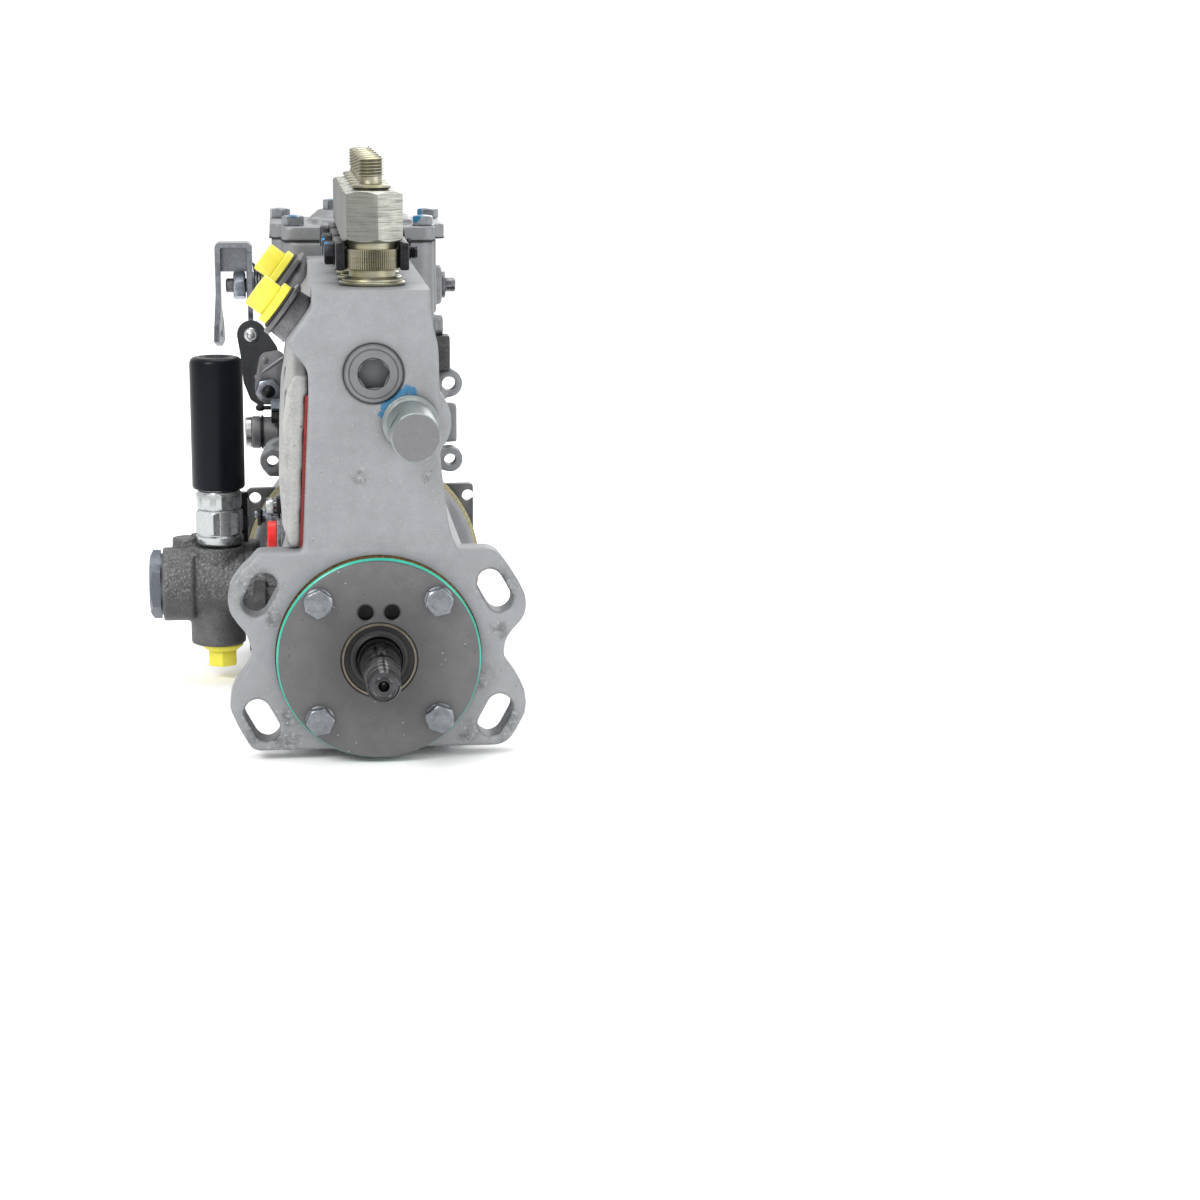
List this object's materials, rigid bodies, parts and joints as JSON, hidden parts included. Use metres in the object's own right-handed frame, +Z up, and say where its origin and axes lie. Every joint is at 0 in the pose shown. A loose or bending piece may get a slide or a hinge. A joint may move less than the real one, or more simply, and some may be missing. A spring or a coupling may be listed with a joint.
{
  "type": "inline diesel injection pump",
  "caption": "Flange-mounted inline diesel injection pump with toothed delivery holders, side cover, mechanical governor, piston feed pump and hand primer.",
  "frame": {"origin": "on the camshaft axis, in the plane of the mounting flange's front face", "axes": "+X to the right seen from the drive end, +Y along the camshaft from the drive end to the governor, +Z up along the plungers"},
  "size_m": [0.1864, 0.401, 0.2831],
  "materials": {
    "housing_aluminium": "matte fine-blasted casting",
    "side_cover_casting": "rough casting",
    "machined_plate": "fine turned face",
    "zinc_steel": "clear zinc plate",
    "brown_gasket": "fibre gasket",
    "teal_rubber": "satin rubber",
    "seal_metal": "worn metal case with black lip",
    "bearing_steel": "ground",
    "dark_steel": "oiled dark steel",
    "tool_steel": "fine ground",
    "spring_steel": "oiled",
    "sleeve_bronze": "machined",
    "yellow_zinc": "yellow passivated zinc",
    "black_steel": "black oxide",
    "red_gasket": "fibre gasket",
    "union_steel": "grey phosphated",
    "black_rubber": "matte",
    "yellow_plastic": "satin moulded plastic",
    "red_plastic": "satin moulded plastic",
    "cast_iron": "rough dark casting",
    "black_plastic": "satin moulded plastic",
    "governor_casting": "sand-cast, blasted",
    "cream_gasket": "paper gasket",
    "phosphated_plate": "dark phosphate"
  },
  "bodies": {
    "pump": {"pump_housing": "housing_aluminium", "bearing_end_plate": "machined_plate", "end_plate_bolts": "zinc_steel", "end_plate_gasket": "brown_gasket", "pilot_o_ring": "teal_rubber", "shaft_seal": "seal_metal", "front_bearing": "bearing_steel", "rear_bearing": "bearing_steel", "tappets": "dark_steel", "tappet_rollers": "bearing_steel", "spring_seats": "tool_steel", "plunger_springs": "spring_steel", "plungers": "bearing_steel", "barrels": "tool_steel", "rack_cap": "zinc_steel", "gallery_plug": "tool_steel", "delivery_valves": "bearing_steel", "delivery_valve_springs": "spring_steel", "delivery_valve_holders": "yellow_zinc", "clamp_plates": "black_steel", "clamp_bolts": "black_steel", "side_cover": "side_cover_casting", "side_cover_gasket": "red_gasket", "side_cover_screws": "dark_steel", "fuel_unions": "union_steel", "union_seals": "black_rubber", "union_caps": "yellow_plastic", "oil_port": "union_steel", "oil_port_cap": "red_plastic", "feed_pump_body": "cast_iron", "feed_pump_gasket": "brown_gasket", "feed_pump_nuts": "zinc_steel", "feed_pump_plug": "union_steel", "feed_pump_piston": "bearing_steel", "feed_pump_spring": "spring_steel", "feed_pump_tappet": "dark_steel", "feed_pump_cap": "yellow_plastic", "primer_barrel": "zinc_steel", "governor_housing": "governor_casting", "governor_gasket": "cream_gasket", "governor_cover": "governor_casting", "governor_cover_gasket": "black_rubber", "governor_cover_bolts": "zinc_steel", "stop_stud": "zinc_steel", "torque_capsule": "zinc_steel", "rear_support_plate": "phosphated_plate"},
    "cam": {"camshaft": "dark_steel", "woodruff_key": "dark_steel", "flyweight_carrier": "dark_steel"},
    "rack": {"control_rack": "tool_steel"},
    "sleeve_1": {"control_sleeve_1": "sleeve_bronze"},
    "sleeve_2": {"control_sleeve_2": "sleeve_bronze"},
    "sleeve_3": {"control_sleeve_3": "sleeve_bronze"},
    "sleeve_4": {"control_sleeve_4": "sleeve_bronze"},
    "sleeve_5": {"control_sleeve_5": "sleeve_bronze"},
    "sleeve_6": {"control_sleeve_6": "sleeve_bronze"},
    "control_lever": {"control_lever": "zinc_steel", "lever_shaft": "zinc_steel"},
    "stop_lever": {"stop_lever": "phosphated_plate"},
    "primer": {"primer_knob": "black_plastic"}
  },
  "joints": [
    {"name": "camshaft_spin", "type": "hinge", "parent": "pump", "child": "cam", "pos_m": [0, 0, 0], "axis": [0, 1, 0], "continuous": true},
    {"name": "rack_travel", "type": "slide", "parent": "pump", "child": "rack", "axis": [0, 1, 0], "range_m": [-0.01, 0.01]},
    {"name": "sleeve_turn_1", "type": "hinge", "parent": "pump", "child": "sleeve_1", "pos_m": [0, 0.032, 0.1], "axis": [0, 0, 1], "range_deg": [-45, 45]},
    {"name": "sleeve_turn_2", "type": "hinge", "parent": "pump", "child": "sleeve_2", "pos_m": [0, 0.064, 0.1], "axis": [0, 0, 1], "range_deg": [-45, 45]},
    {"name": "sleeve_turn_3", "type": "hinge", "parent": "pump", "child": "sleeve_3", "pos_m": [0, 0.096, 0.1], "axis": [0, 0, 1], "range_deg": [-45, 45]},
    {"name": "sleeve_turn_4", "type": "hinge", "parent": "pump", "child": "sleeve_4", "pos_m": [0, 0.128, 0.1], "axis": [0, 0, 1], "range_deg": [-45, 45]},
    {"name": "sleeve_turn_5", "type": "hinge", "parent": "pump", "child": "sleeve_5", "pos_m": [0, 0.16, 0.1], "axis": [0, 0, 1], "range_deg": [-45, 45]},
    {"name": "sleeve_turn_6", "type": "hinge", "parent": "pump", "child": "sleeve_6", "pos_m": [0, 0.192, 0.1], "axis": [0, 0, 1], "range_deg": [-45, 45]},
    {"name": "control_lever_swing", "type": "hinge", "parent": "pump", "child": "control_lever", "pos_m": [0, 0.298, 0.152], "axis": [1, 0, 0], "range_deg": [0, 45], "stiffness_Nm_per_rad": 0.4, "springref_deg": -28.65},
    {"name": "stop_lever_swing", "type": "hinge", "parent": "pump", "child": "stop_lever", "pos_m": [-0.0514, 0.286, 0.0932], "axis": [0, 1, 0], "range_deg": [-28, 0], "stiffness_Nm_per_rad": 0.2, "springref_deg": 22.92},
    {"name": "primer_stroke", "type": "slide", "parent": "pump", "child": "primer", "axis": [0, 0, 1], "range_m": [0, 0.028]}
  ],
  "couplings": [
    {"joint": "sleeve_turn_1", "follows": "rack_travel", "rad_per_m": 76.923},
    {"joint": "sleeve_turn_2", "follows": "rack_travel", "rad_per_m": 76.923},
    {"joint": "sleeve_turn_3", "follows": "rack_travel", "rad_per_m": 76.923},
    {"joint": "sleeve_turn_4", "follows": "rack_travel", "rad_per_m": 76.923},
    {"joint": "sleeve_turn_5", "follows": "rack_travel", "rad_per_m": 76.923},
    {"joint": "sleeve_turn_6", "follows": "rack_travel", "rad_per_m": 76.923}
  ]
}
